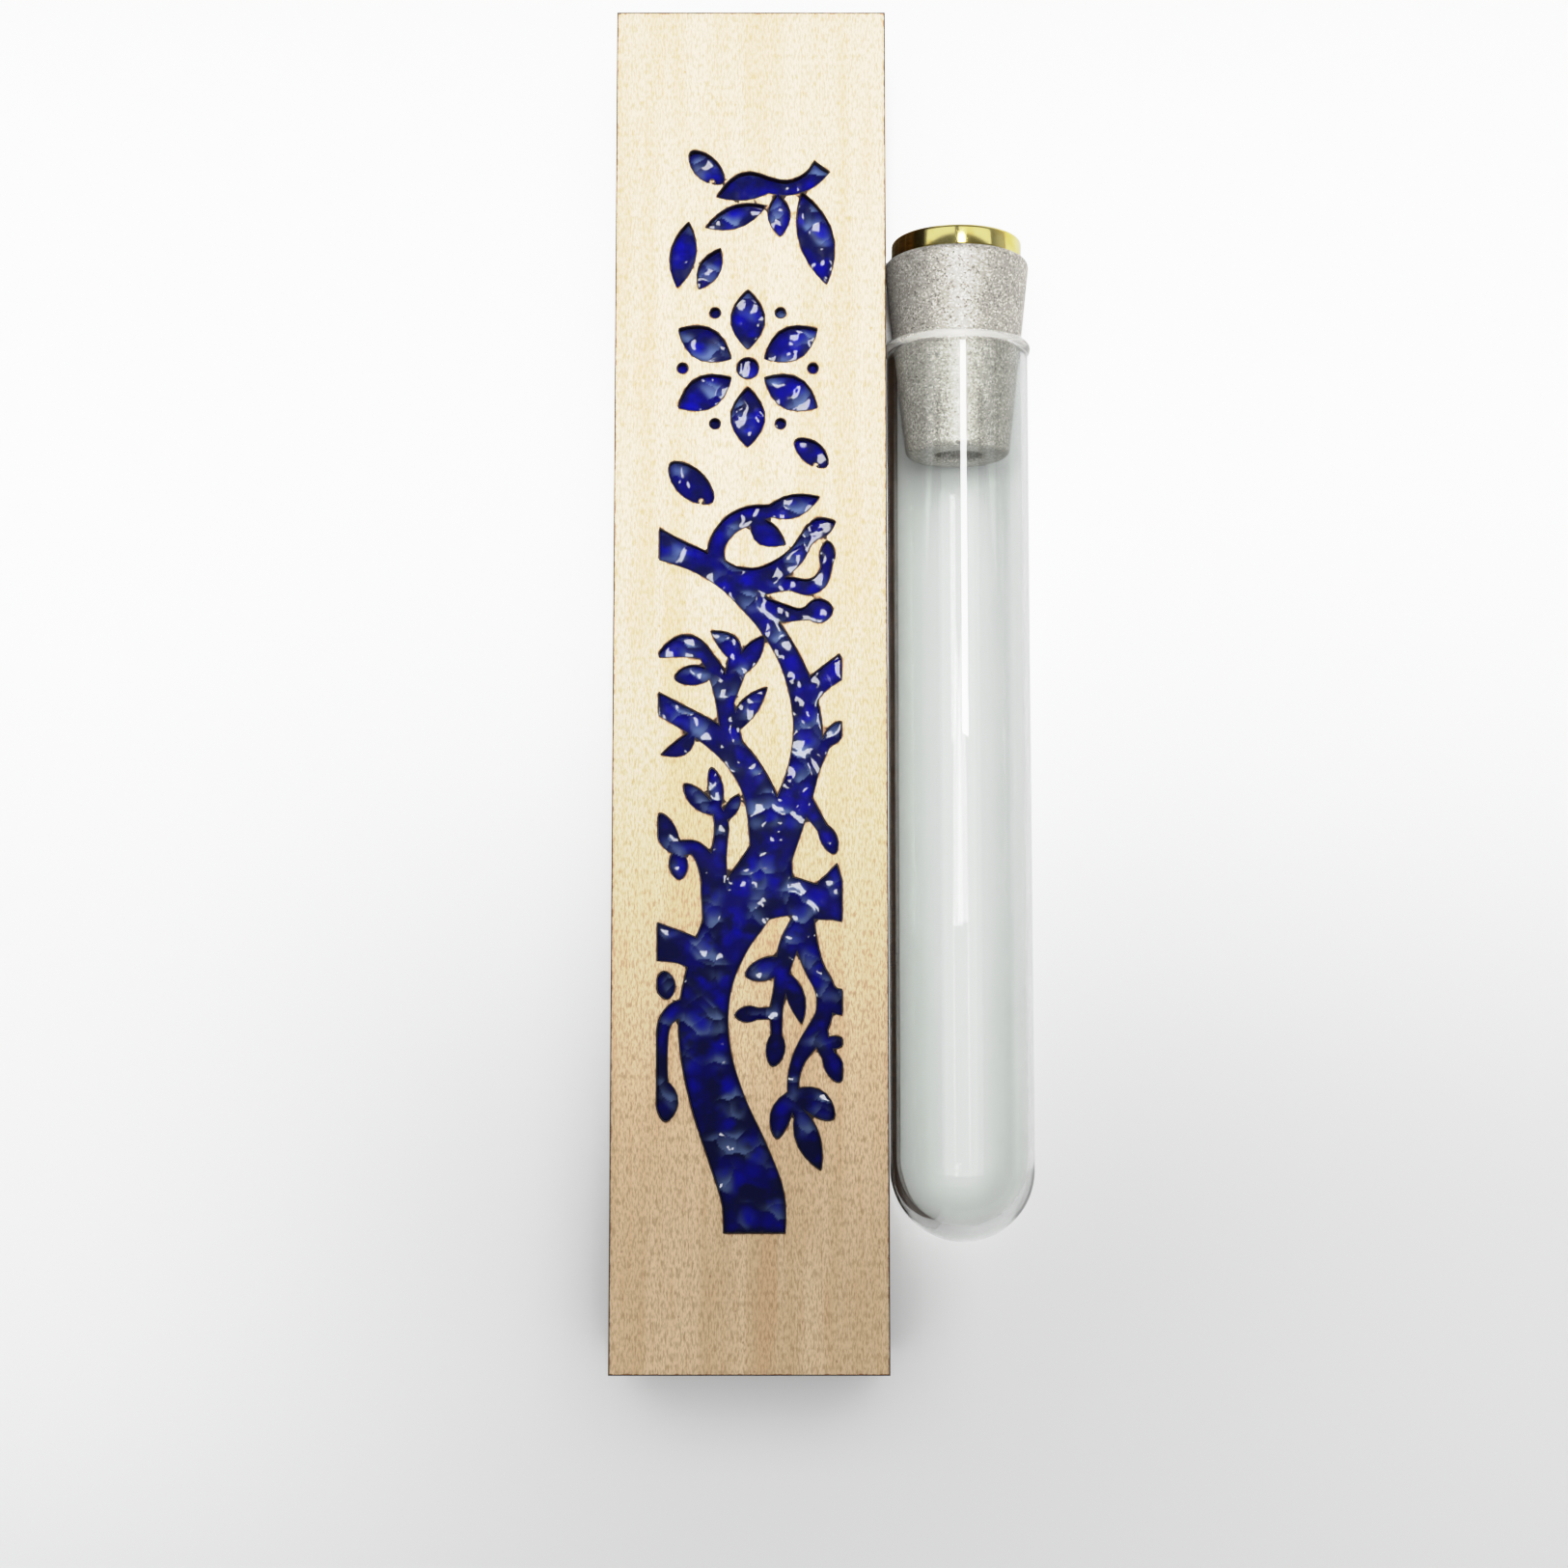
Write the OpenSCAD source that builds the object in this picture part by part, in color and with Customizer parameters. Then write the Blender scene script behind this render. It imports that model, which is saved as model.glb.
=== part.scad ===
// Mezuzah case: a stack of laser-cut plywood layers with a blue glass inlay in its
// face, a scroll chamber closed by a sliding wall plate, and a stoppered glass tube.
// Frame: origin at the centre of the case's back face, +Z out of the front,
// +Y towards the case's top end, +X to its right. All sizes in millimetres.

/* [Case] */
// Width of every plywood layer
case_w = 30; // [28:0.5:40]
// Length of every plywood layer
case_l = 150; // [148:1:180]
// Thickness of the front panel
panel_t = 3; // [2.5:0.1:4]
// Thickness of each of the other layers
ply_t = 2; // [1.8:0.1:3]
// Number of open frames stacked round the scroll chamber
frame_count = 4; // [4:1:5]

/* [Inlay] */
// Depth of the inlay's surface below the panel's face
inlay_drop = 0.9; // [0.3:0.1:1.5]
// Gap between the inlay and the cut-out's wall
inlay_gap = 0.03; // [0.02:0.01:0.1]
// Half width of the band that the cut-outs keep to
art_half_w = 9.95; // [9:0.05:11]

/* [Chamber] */
// Width of the scroll chamber
chamber_w = 20; // [12:1:22]
// Length of the scroll chamber
chamber_l = 124; // [110:1:130]

/* [Wall plate] */
// Width of the plate's tongue, which runs in the track
tongue_w = 24; // [18:0.5:25]
// Width of the plate's foot, which lies between the lips
foot_w = 16; // [10:0.5:17]
// Length of both parts of the plate
plate_l = 144; // [130:1:146]
// Side clearance between plate and case
plate_side_gap = 0.2; // [0.1:0.05:0.4]
// Clearance above and below the tongue
plate_face_gap = 0.1; // [0.05:0.05:0.2]
// Distance between the two screw holes
screw_spacing = 110; // [80:1:120]
// Radius of the screw holes
screw_r = 1.6; // [1.25:0.05:2]
// Radius of the countersinks
sink_r = 3.1; // [2.5:0.1:3.5]

/* [Scroll] */
// Radius of the rolled parchment
scroll_r = 3.8; // [3:0.1:3.9]
// Length of the rolled parchment
scroll_l = 100; // [70:1:104]
// Thickness of the parchment, drawn thicker than life so that the turns show
sheet_t = 0.45; // [0.3:0.05:0.5]
// Number of turns in the roll
scroll_turns = 4; // [3:1:4]

/* [Tube] */
// Outer radius of the glass tube
tube_r = 8; // [7:0.1:9]
// Thickness of the tube's wall
tube_wall = 0.7; // [0.6:0.1:1.2]
// Overall length of the tube
tube_l = 101; // [90:1:120]
// How far the rounded rim stands proud of the tube
rim_proud = 0.35; // [0.1:0.05:0.4]
// Height of the tube's rim above the case's centre line
rim_y = 39.2; // [20:0.1:50]
// Gap between the case's side and the tube's rim
tube_gap = 0.1; // [0.1:0.1:5]

/* [Stopper] */
// Radius of the stopper's outer end
stopper_top_r = 8.25; // [7.9:0.05:8.3]
// Overall length of the stopper
stopper_l = 22.5; // [18:0.5:28]
// Length of the stopper that stands out of the tube
stopper_out = 9.6; // [8:0.1:14]
// Radial clearance between stopper and glass at the rim
stopper_gap = 0.05; // [0.02:0.01:0.1]
// Radius of the blind hole in the stopper's inner end
stopper_hole_r = 2.7; // [1.5:0.1:3.5]
// Depth of the blind hole in the stopper's inner end
stopper_hole_depth = 3; // [1:0.5:6]
// Radius of the gilt cap
cap_r = 7.4; // [6:0.1:7.5]
// Height of the gilt cap
cap_h = 3.3; // [2.8:0.1:4]
// Height of the band round the gilt cap, below its dome
cap_band_h = 2.4; // [1.6:0.1:2.6]

/* [Hidden] */
$fn = 64;

// Heights of the layers' lower faces, from the wall outwards
lip_z = 0;
track_z = lip_z + ply_t;
chamber_z = track_z + ply_t;
backing_z = chamber_z + frame_count * ply_t;
panel_z = backing_z + ply_t;

// Plate
track_slot_w = tongue_w + 2 * plate_side_gap;
lip_slot_w = foot_w + 2 * plate_side_gap;
end_wall = 5;
slot_l = case_l - end_wall;
plate_y = -case_l / 2 + 0.5;
tongue_z = track_z + plate_face_gap;
tongue_t = ply_t - 2 * plate_face_gap;

// Scroll
scroll_x = -(chamber_w / 2 - scroll_r - 0.4);
scroll_z = backing_z - scroll_r - 0.05;
turn_steps = 16;

// Tube and stopper
tube_bore_r = tube_r - tube_wall;
tube_x = case_w / 2 + tube_gap + tube_r + rim_proud;
tube_z = tube_r + rim_proud;
rim_l = 1.2;
stopper_in_r = tube_bore_r - stopper_gap;
stopper_slope = (stopper_top_r - stopper_in_r) / stopper_out;
stopper_low_r = stopper_top_r - stopper_slope * stopper_l;
stopper_edge = 0.5;
cap_edge = 0.45;
cap_dome_h = cap_h - cap_band_h;

// Each stroke of the drawing is a smooth curve through points [x, y, width],
// with x from the centre line and y from the panel's lower edge.
stroke_steps = 5;

trunk = [[0.5, 14, 6.4], [0.4, 18.5, 6.6], [-1.2, 23.2, 6.3], [-3.2, 28.2, 5.7], [-4.6, 33.3, 5.3],
         [-5, 38, 5.2], [-4.3, 42.4, 5.1], [-2.7, 46.6, 5.6], [-0.6, 50.2, 6.2], [1.3, 53.6, 5.2],
         [2.9, 57, 4.4], [4.7, 61.2, 3.6], [5.9, 65.2, 3.2], [6.3, 69.5, 3], [5.5, 73.8, 2.6],
         [4, 77.5, 2.2], [2.1, 80.6, 2.2], [0.2, 83.4, 2.9], [-2.3, 85.8, 2.8], [-5.4, 87.6, 2.5],
         [-8, 88.7, 2.7], [-10.6, 89.8, 3.3]];

limbs = [
    // Left bough and its sawn end
    [[2.6, 52, 4], [2.2, 56.4, 4.2], [1.5, 60.4, 3.6], [0.4, 63.5, 3.1], [-1.6, 66.4, 2.9],
     [-4.2, 68.6, 2.6], [-7.2, 70.4, 2.3], [-10.6, 72.3, 2.1]],
    // Broad stub to the right, flared at its end
    [[0.6, 50.4, 4.4], [3.8, 51, 4.2], [7.1, 50.4, 3.7], [8.7, 50.7, 4.8], [10.4, 51.2, 6.7]],
    // Short stub to the left
    [[-4.2, 43.8, 3.4], [-7.2, 45.3, 3.2], [-10.6, 46.1, 4.1]],
    // Stub high on the right
    [[5.8, 72.4, 2.4], [7.8, 74.5, 2.2], [10.4, 76.3, 2.5]],
    // Bough of the crown, which splits to the right
    [[-2, 86.1, 2], [0.8, 85.8, 2.2], [3.2, 86.8, 2.1], [5, 88.3, 1.8], [6, 89.9, 1.5], [6.9, 91, 1.9]],
    // Middle and lower boughs of the crown
    [[0.2, 84.7, 2], [4, 85.2, 1.4], [6.2, 84.8, 1.6], [7.6, 85.4, 1.5], [8.3, 86.8, 1.1], [8.4, 88, 1.2]],
    [[0, 83, 2.4], [3.4, 82, 1.9], [5.4, 81.8, 1.2], [6.9, 82.1, 1.6]],
    // Arch over the crown
    [[-3.6, 86.8, 1.9], [-3.7, 89.4, 1.7], [-2.2, 91.7, 1.9], [0, 92.8, 2], [2.4, 93.3, 1.2]]];

twigs = [
    // Upper left: stem, then its two forks
    [[-1.8, 66.6, 2.4], [-2.4, 70, 1.9], [-2.9, 72.8, 1.8], [-3.7, 75.4, 1.7], [-5, 77.5, 1.2]],
    [[-2.9, 72.6, 1.4], [-2, 75.2, 1.4], [-1.8, 77, 1.1]],
    [[-2.6, 71.8, 1.3], [-1.6, 74.6, 1.4], [-0.6, 76.6, 1]],
    // Right of the trunk
    [[6.4, 64.4, 1.9], [7.8, 67, 1.3], [8.8, 68.4, 1]],
    [[5.8, 61.3, 2], [7.2, 59.4, 1.3], [8.2, 57.8, 1]],
    // Left of the trunk: thick stem that rises beside it, and its side twig
    [[-3.4, 44, 3], [-3.55, 49, 3], [-3.8, 52.6, 2.8], [-3.5, 54.8, 1.8], [-3.2, 57, 1.4], [-3.1, 58.8, 1.4],
     [-3.7, 60.8, 0.9]],
    [[-3.9, 52.2, 2.4], [-4.8, 54.8, 1.9], [-6, 56.2, 1.4], [-7.4, 56.2, 1.5], [-8.4, 56.6, 1]],
    // Low left stem, which hangs straight down beside the edge
    [[-6, 38.8, 2.2], [-7.8, 38.7, 1.8], [-9.2, 37.2, 1.3], [-9.45, 34.2, 1.05], [-9.4, 31, 1.1],
     [-9.3, 29.6, 1.2]],
    // Hanging twigs under the broad stub
    [[5.7, 50, 2.4], [5.9, 46.8, 2.4], [6.9, 43.4, 2], [8.1, 41, 2], [8.1, 38.6, 1.7], [7.4, 36.8, 1.9],
     [6.3, 35.1, 1.8], [5.2, 33.2, 1.3], [4.7, 31, 1.1], [4.9, 28.8, 1.2], [5.5, 27, 1.1]],
    [[7.9, 41.2, 1.8], [8.8, 39.9, 2.5], [10.4, 39.4, 2.6]],
    [[7.5, 37.4, 1.6], [7.7, 35.6, 1.6], [8.6, 33.6, 1.3]],
    [[5.4, 48.2, 1.8], [4.3, 45.8, 2], [3.6, 43.4, 1.6], [3.3, 41, 1.3], [2.9, 38.8, 1.2], [2.9, 35.8, 1]],
    [[2.9, 38.4, 1.2], [1.2, 38.3, 1.1], [-0.4, 38.3, 1]]];

// Leaves on the tree: [foot, tip, width, sideways bow]
leaves = [
    [[1.3, 93.1], [7.5, 94.8], 2.5, -0.2], [[0.1, 92.8], [3.8, 89.6], 2.6, -0.5],
    [[6, 90.3], [9.3, 92.1], 2.2, 0.2], [[5.9, 73.4], [9.9, 76.6], 1.6, 0],
    [[-1.4, 74.9], [1.5, 79.4], 2, 0.1], [[-1.2, 76.2], [-4.2, 79.9], 2.1, -0.6],
    [[-2, 68.6], [1.8, 73.7], 2, 0.3], [[-6, 69.2], [-9.6, 66.4], 1.7, 0.7],
    [[3.7, 43], [5.6, 37.3], 1.8, 0.3], [[5.2, 28.6], [7.6, 21.7], 2.5, -0.2]];

// Rounder buds on the tree, in the same form
buds = [
    // Crown
    [[8.2, 86.8], [8.5, 89.9], 1.6, -0.1], [[6, 82], [9, 82.4], 2.6, 0],
    // Upper left
    [[-4, 77], [-10, 77.3], 2.4, -1.2], [[-4.2, 75.2], [-8.2, 74.8], 2.1, -0.1],
    // Right of the trunk
    [[8.1, 67.4], [10, 69.9], 1.7, -0.1], [[7.7, 58.8], [9.2, 55.6], 1.7, 0.1],
    // Left of the trunk
    [[-3.6, 60.2], [-4.2, 64.9], 1.5, -0.2], [[-3.7, 60], [-7.1, 63.1], 1.8, 0.2],
    [[-3, 59.2], [-1.2, 61.9], 1.3, -0.1], [[-8, 55.6], [-9.8, 59.9], 2.1, 0.1],
    [[-7.9, 56], [-7.6, 52.8], 1.9, 0], [[-9.4, 31.2], [-9, 26.8], 2.3, 0.3], [[-9.3, 42.8], [-8.9, 39.9], 2, 0],
    // Hanging twigs
    [[3.8, 44], [-0.4, 42.4], 2.3, 0.1], [[1.2, 38.4], [-1.5, 38.1], 1.6, 0],
    [[2.9, 36.4], [2.5, 32.7], 1.9, 0.1], [[4.9, 30], [2.9, 25], 2.1, -0.5],
    [[4.7, 29.9], [9, 27.1], 2.7, 0.4], [[8.2, 34.4], [9.7, 31], 1.9, 0.1], [[8, 35.1], [10.2, 35.3], 1.3, 0]];

// Loose leaves that fall past the tree
loose_leaves = [
    [[-3.7, 128.8], [3.2, 130.1], 3.1, 0.6], [[-4.9, 125.3], [1.6, 127.7], 2.5, 0],
    [[3, 129.1], [3.3, 124.3], 2.4, 0], [[5.7, 129.2], [8.4, 118.9], 3.8, 0.2],
    [[-6.9, 125.8], [-8.1, 118.5], 2.8, 0], [[-3.4, 122.8], [-5.7, 118.3], 2.3, 0]];
loose_stem = [[0.6, 130.5, 1.8], [3.6, 129.8, 1.6], [5.6, 130.2, 1.7], [7, 131.1, 1.8], [7.9, 132.2, 2]];
// Loose buds, each with a nick beside its stalk: [foot, tip, width, sideways bow]
loose_buds = [
    [[-3.1, 130.4], [-6.7, 133.9], 2.6, 0.1], [[-4.2, 94.3], [-8.8, 98.6], 3.2, 0.1],
    [[8.4, 98.3], [5, 101.2], 2.4, -0.1]];
nick_r = 0.4;
nick_offset = [-1.2, 0.1];

// Blossom between the loose leaves and the crown
blossom_at = [-0.3, 109.3];
blossom_r = 8.8;
blossom_petals = 6;
petal_w = 3.7;
eye_r = 1.15;
bead_r = 0.55;

// Point at u, from 0 to 1, on the smooth span between b and c
function span_point(a, b, c, d, u) =
    ((2 * b) + (c - a) * u + (2 * a - 5 * b + 4 * c - d) * u * u + (3 * b - a - 3 * c + d) * u * u * u) / 2;

// Points along the smooth curve through pts
function smooth(pts, steps) = let (n = len(pts) - 1) concat(
    [for (i = [0 : n - 1], s = [0 : steps - 1])
        span_point(pts[max(i - 1, 0)], pts[i], pts[i + 1], pts[min(i + 2, n)], s / steps)],
    [pts[n]]);

// Unit vector a quarter turn to the left of the curve at point i
function left_of(p, i) = let (
    d = p[min(i + 1, len(p) - 1)] - p[max(i - 1, 0)],
    l = norm([d[0], d[1]])) [-d[1], d[0]] / l;

// Curve of varying width through points [x, y, width]
module stroke(pts, steps = stroke_steps) {
    p = smooth(pts, steps);
    polygon(concat(
        [for (i = [0 : len(p) - 1]) [p[i][0], p[i][1]] + left_of(p, i) * p[i][2] / 2],
        [for (i = [len(p) - 1 : -1 : 0]) [p[i][0], p[i][1]] - left_of(p, i) * p[i][2] / 2]));
}

// Leaf from foot to tip, bowed to the left of that line by bow. Its outline is a sine
// raised to fullness: a pointed leaf at 0.85, a round bud at 0.5.
module leaf(foot, tip, width, bow, fullness = 0.85) {
    n = 9;
    d = tip - foot;
    side = [-d[1], d[0]] / norm(d);
    function along(i) = (1 - cos(180 * i / n)) / 2;
    function edge(t, s) =
        foot + d * t + side * (bow * 4 * t * (1 - t) + s * width / 2 * pow(sin(180 * t), fullness));
    polygon(concat([for (i = [0 : n]) edge(along(i), 1)], [for (i = [n - 1 : -1 : 1]) edge(along(i), -1)]));
}

// Bud with a nick beside its stalk
module nicked_bud(foot, tip, width, bow) {
    difference() {
        leaf(foot, tip, width, bow, 0.55);
        translate(foot + nick_offset) circle(r = nick_r, $fn = 10);
    }
}

// Six-petalled blossom with a round eye and a bead between each two petals
module blossom() {
    translate(blossom_at) {
        circle(r = eye_r, $fn = 24);
        for (i = [0 : blossom_petals - 1]) {
            rotate(i * 360 / blossom_petals) leaf([0, 2.2], [0, blossom_r], petal_w, 0);
            rotate((i + 0.5) * 360 / blossom_petals) translate([0, blossom_r * 0.82]) circle(r = bead_r, $fn = 16);
        }
    }
}

// The whole cut-out drawing, grown by grow
module drawing(grow) {
    translate([0, -case_l / 2]) offset(delta = grow) intersection() {
        union() {
            stroke(trunk);
            for (s = limbs) stroke(s);
            for (s = twigs) stroke(s, 4);
            for (l = concat(leaves, loose_leaves)) leaf(l[0], l[1], l[2], l[3]);
            for (l = buds) leaf(l[0], l[1], l[2], l[3], 0.55);
            for (l = loose_buds) nicked_bud(l[0], l[1], l[2], l[3]);
            stroke(loose_stem);
            blossom();
        }
        translate([-art_half_w, 15]) square([2 * art_half_w, case_l - 30]);
    }
}

// Plain board of the case's outline
module board(z, t) {
    translate([-case_w / 2, -case_l / 2, z]) cube([case_w, case_l, t]);
}

// Front panel with the tree, the leaves and the blossom cut through it
module front_panel() {
    color("burlywood") difference() {
        board(panel_z, panel_t);
        translate([0, 0, panel_z - 1]) linear_extrude(panel_t + 2) drawing(0.02);
    }
}

// Blue glass inlay that fills the cut-outs to just under the face
module blue_inlay() {
    color("midnightblue") translate([0, 0, panel_z])
        linear_extrude(panel_t - inlay_drop) drawing(0.02 - inlay_gap);
}

// Solid board that closes the back of the cut-outs
module backing_board() {
    color("tan") board(backing_z, ply_t);
}

// One open frame of the stack round the scroll chamber
module chamber_frame(i) {
    z = chamber_z + (i - 1) * ply_t;
    color("saddlebrown") difference() {
        board(z, ply_t);
        translate([-chamber_w / 2, -chamber_l / 2, z - 1]) cube([chamber_w, chamber_l, ply_t + 2]);
    }
}

// U-shaped layer with a slot open at the case's lower end
module slotted_layer(z, slot_w) {
    difference() {
        board(z, ply_t);
        translate([-slot_w / 2, -case_l / 2 - 1, z - 1]) cube([slot_w, slot_l + 1, ply_t + 2]);
    }
}

// Layer that the wall plate's tongue runs in
module slide_track() {
    color("saddlebrown") slotted_layer(track_z, track_slot_w);
}

// Layer whose narrower slot keeps the tongue in
module back_lip() {
    color("burlywood") slotted_layer(lip_z, lip_slot_w);
}

// Blank parchment rolled up, a spiral strip with a gap between its turns
module parchment_scroll() {
    pitch = (scroll_r - sheet_t - 0.6) / scroll_turns;
    n = scroll_turns * turn_steps;
    function turn(i, out) = let (a = i * 360 / turn_steps, r = 0.6 + pitch * i / turn_steps + out)
        [r * cos(a), r * sin(a)];
    color("wheat") translate([scroll_x, scroll_l / 2, scroll_z]) rotate([90, 0, 0])
        linear_extrude(scroll_l) polygon(concat(
            [for (i = [0 : n]) turn(i, sheet_t)], [for (i = [n : -1 : 0]) turn(i, 0)]));
}

// Screw hole centres along the plate
module at_screws() {
    for (y = [-1, 1] * screw_spacing / 2) translate([0, y, 0]) children();
}

// Wide half of the wall plate, countersunk for the screw heads
module plate_tongue() {
    color("tan") difference() {
        translate([-tongue_w / 2, plate_y, tongue_z]) cube([tongue_w, plate_l, tongue_t]);
        at_screws() translate([0, 0, tongue_z - 1]) cylinder(r = screw_r, h = tongue_t + 2);
        at_screws() translate([0, 0, tongue_z + 0.4]) cylinder(r1 = screw_r, r2 = sink_r, h = tongue_t - 0.39);
    }
}

// Narrow half of the wall plate, glued under the tongue and screwed to the doorpost
module plate_foot() {
    color("burlywood") difference() {
        translate([-foot_w / 2, plate_y, 0]) cube([foot_w, plate_l, tongue_z]);
        at_screws() translate([0, 0, -1]) cylinder(r = screw_r, h = tongue_z + 2);
    }
}

// Turns a profile about the tube's axis, with its height along +Y from the rim
module on_tube_axis() {
    translate([tube_x, rim_y, tube_z]) rotate([-90, 0, 0]) rotate_extrude() children();
}

// Round-bottomed glass tube with a rounded rim
module glass_tube() {
    color("lightcyan", 0.4) on_tube_axis() difference() {
        union() {
            translate([0, -tube_l + tube_r]) square([tube_r, tube_l - tube_r - rim_l / 2]);
            translate([0, -tube_l + tube_r]) intersection() {
                circle(r = tube_r);
                translate([0, -tube_r - 1]) square([tube_r + 1, tube_r + 1]);
            }
            translate([tube_bore_r, -rim_l]) square([tube_wall, rim_l / 2 + 0.1]);
            translate([tube_r + rim_proud - rim_l / 2, -rim_l / 2]) circle(r = rim_l / 2, $fn = 32);
            translate([tube_bore_r, -rim_l]) square([tube_wall + rim_proud - rim_l / 2, rim_l]);
        }
        translate([-1, -tube_l + tube_r]) square([tube_bore_r + 1, tube_l]);
        translate([0, -tube_l + tube_r]) circle(r = tube_bore_r);
    }
}

// Tapered stopper with a blind hole in its inner end
module stopper() {
    color("silver") on_tube_axis() difference() {
        polygon([[0, stopper_out], [stopper_top_r - stopper_edge, stopper_out],
                 [stopper_top_r - 0.03, stopper_out - stopper_edge],
                 [stopper_low_r + 0.03, stopper_out - stopper_l + stopper_edge],
                 [stopper_low_r - stopper_edge, stopper_out - stopper_l], [0, stopper_out - stopper_l]]);
        translate([-1, stopper_out - stopper_l - 1]) square([stopper_hole_r + 1, stopper_hole_depth + 1]);
    }
}

// Polished gilt cap on the stopper: a rounded band under a shallow dome
module gold_cap() {
    dome_base_r = cap_r - cap_edge;
    dome_r = (pow(dome_base_r, 2) + pow(cap_dome_h, 2)) / (2 * cap_dome_h);
    color("gold") on_tube_axis() translate([0, stopper_out]) union() {
        square([dome_base_r, cap_band_h]);
        square([cap_r, cap_band_h - cap_edge]);
        translate([dome_base_r, cap_band_h - cap_edge]) circle(r = cap_edge, $fn = 32);
        intersection() {
            translate([0, cap_h - dome_r]) circle(r = dome_r, $fn = 128);
            square([dome_base_r, cap_h]);
        }
    }
}

front_panel();
blue_inlay();
backing_board();
for (i = [1 : frame_count]) chamber_frame(i);
slide_track();
back_lip();
parchment_scroll();
plate_tongue();
plate_foot();
glass_tube();
stopper();
gold_cap();
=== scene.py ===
"""Looks of a wooden mezuzah case with a blue glass inlay, and of its stoppered glass tube.

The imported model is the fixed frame: +X to the case's right, +Y to its top end and +Z out of its
carved front, in metres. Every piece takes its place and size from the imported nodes' boxes.
"""

import logging
import math
import random
from collections.abc import Callable
from dataclasses import dataclass
from enum import Enum

import bmesh
import bpy
from mathutils import Matrix, Vector, noise
from mathutils.bvhtree import BVHTree


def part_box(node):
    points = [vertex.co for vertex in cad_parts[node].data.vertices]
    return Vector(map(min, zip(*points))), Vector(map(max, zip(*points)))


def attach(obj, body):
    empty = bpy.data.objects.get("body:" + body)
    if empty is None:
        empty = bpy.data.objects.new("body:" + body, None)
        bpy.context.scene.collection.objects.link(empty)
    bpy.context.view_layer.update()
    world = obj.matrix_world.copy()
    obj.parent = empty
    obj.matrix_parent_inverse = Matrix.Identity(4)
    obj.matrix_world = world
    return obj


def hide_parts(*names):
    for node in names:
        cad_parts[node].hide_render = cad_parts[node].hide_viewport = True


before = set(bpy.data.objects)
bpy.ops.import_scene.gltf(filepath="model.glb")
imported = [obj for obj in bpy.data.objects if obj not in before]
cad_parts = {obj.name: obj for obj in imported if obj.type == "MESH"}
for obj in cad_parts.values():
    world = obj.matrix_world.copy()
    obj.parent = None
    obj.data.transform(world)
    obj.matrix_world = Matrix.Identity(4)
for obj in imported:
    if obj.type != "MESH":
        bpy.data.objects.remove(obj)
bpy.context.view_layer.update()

MM = 0.001
MERGE = 0.0005 * MM
LOG = logging.getLogger("mezuzah_case")


class Body(Enum):
    """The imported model's rigid bodies."""

    CASE = "case"
    PLATE = "wall_plate"
    TUBE = "tube"
    STOPPER = "stopper"


class Slot(Enum):
    """The record's material slots."""

    MAPLE = "maple_face"
    PLYWOOD = "plywood"
    BLUE_GLASS = "blue_glass"
    PARCHMENT = "parchment"
    CLEAR_GLASS = "clear_glass"
    SILVER = "silver_paint"
    GILT = "gilt_metal"


# ---------------------------------------------------------------- colours and shader nodes

NOISE = "ShaderNodeTexNoise"
CELLS = "ShaderNodeTexVoronoi"
PLACED = "ShaderNodeMapping"
BLEND = ("ShaderNodeMix", {"data_type": "RGBA"})
RAMP = ("ShaderNodeMapRange", {"interpolation_type": "SMOOTHSTEP"})
PLUS = ("ShaderNodeMath", {"operation": "ADD"})


def linear(hex_colour: str) -> tuple[float, float, float, float]:
    """Turns an sRGB hex colour into linear RGBA.

    Args:
        hex_colour: Colour as "#RRGGBB".

    Returns:
        The four linear channels, with alpha 1.
    """
    channels = [int(hex_colour[i : i + 2], 16) / 255 for i in (1, 3, 5)]
    r, g, b = (c / 12.92 if c <= 0.04045 else ((c + 0.055) / 1.055) ** 2.4 for c in channels)
    return (r, g, b, 1.0)


def per_mm(*sizes: float) -> tuple[float, ...]:
    """Turns feature sizes in millimetres into pattern scales per metre."""
    return tuple(1 / (size * MM) for size in sizes)


def add(
    tree: bpy.types.NodeTree,
    kind: str,
    settings: dict | None = None,
    inputs: dict | None = None,
    stops: tuple[tuple[float, str], ...] = (),
) -> bpy.types.Node:
    """Adds a shader node with its settings and links.

    Args:
        tree: Node tree to add to.
        kind: Blender's type name of the node.
        settings: Attribute values of the node.
        inputs: Value, hex colour or output socket to link, for inputs by name or index.
        stops: Position and hex colour of each stop, for a colour ramp.

    Returns:
        The new node.
    """
    made = tree.nodes.new(kind)
    for name, value in (settings or {}).items():
        setattr(made, name, value)
    if stops:
        elements = made.color_ramp.elements
        while len(elements) < len(stops):
            elements.new(0.5)
        for element, (position, colour) in zip(elements, stops):
            element.position = position
            element.color = linear(colour)
    for name, value in (inputs or {}).items():
        if isinstance(value, bpy.types.NodeSocket):
            tree.links.new(value, made.inputs[name])
        else:
            made.inputs[name].default_value = linear(value) if isinstance(value, str) else value
    return made


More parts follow.
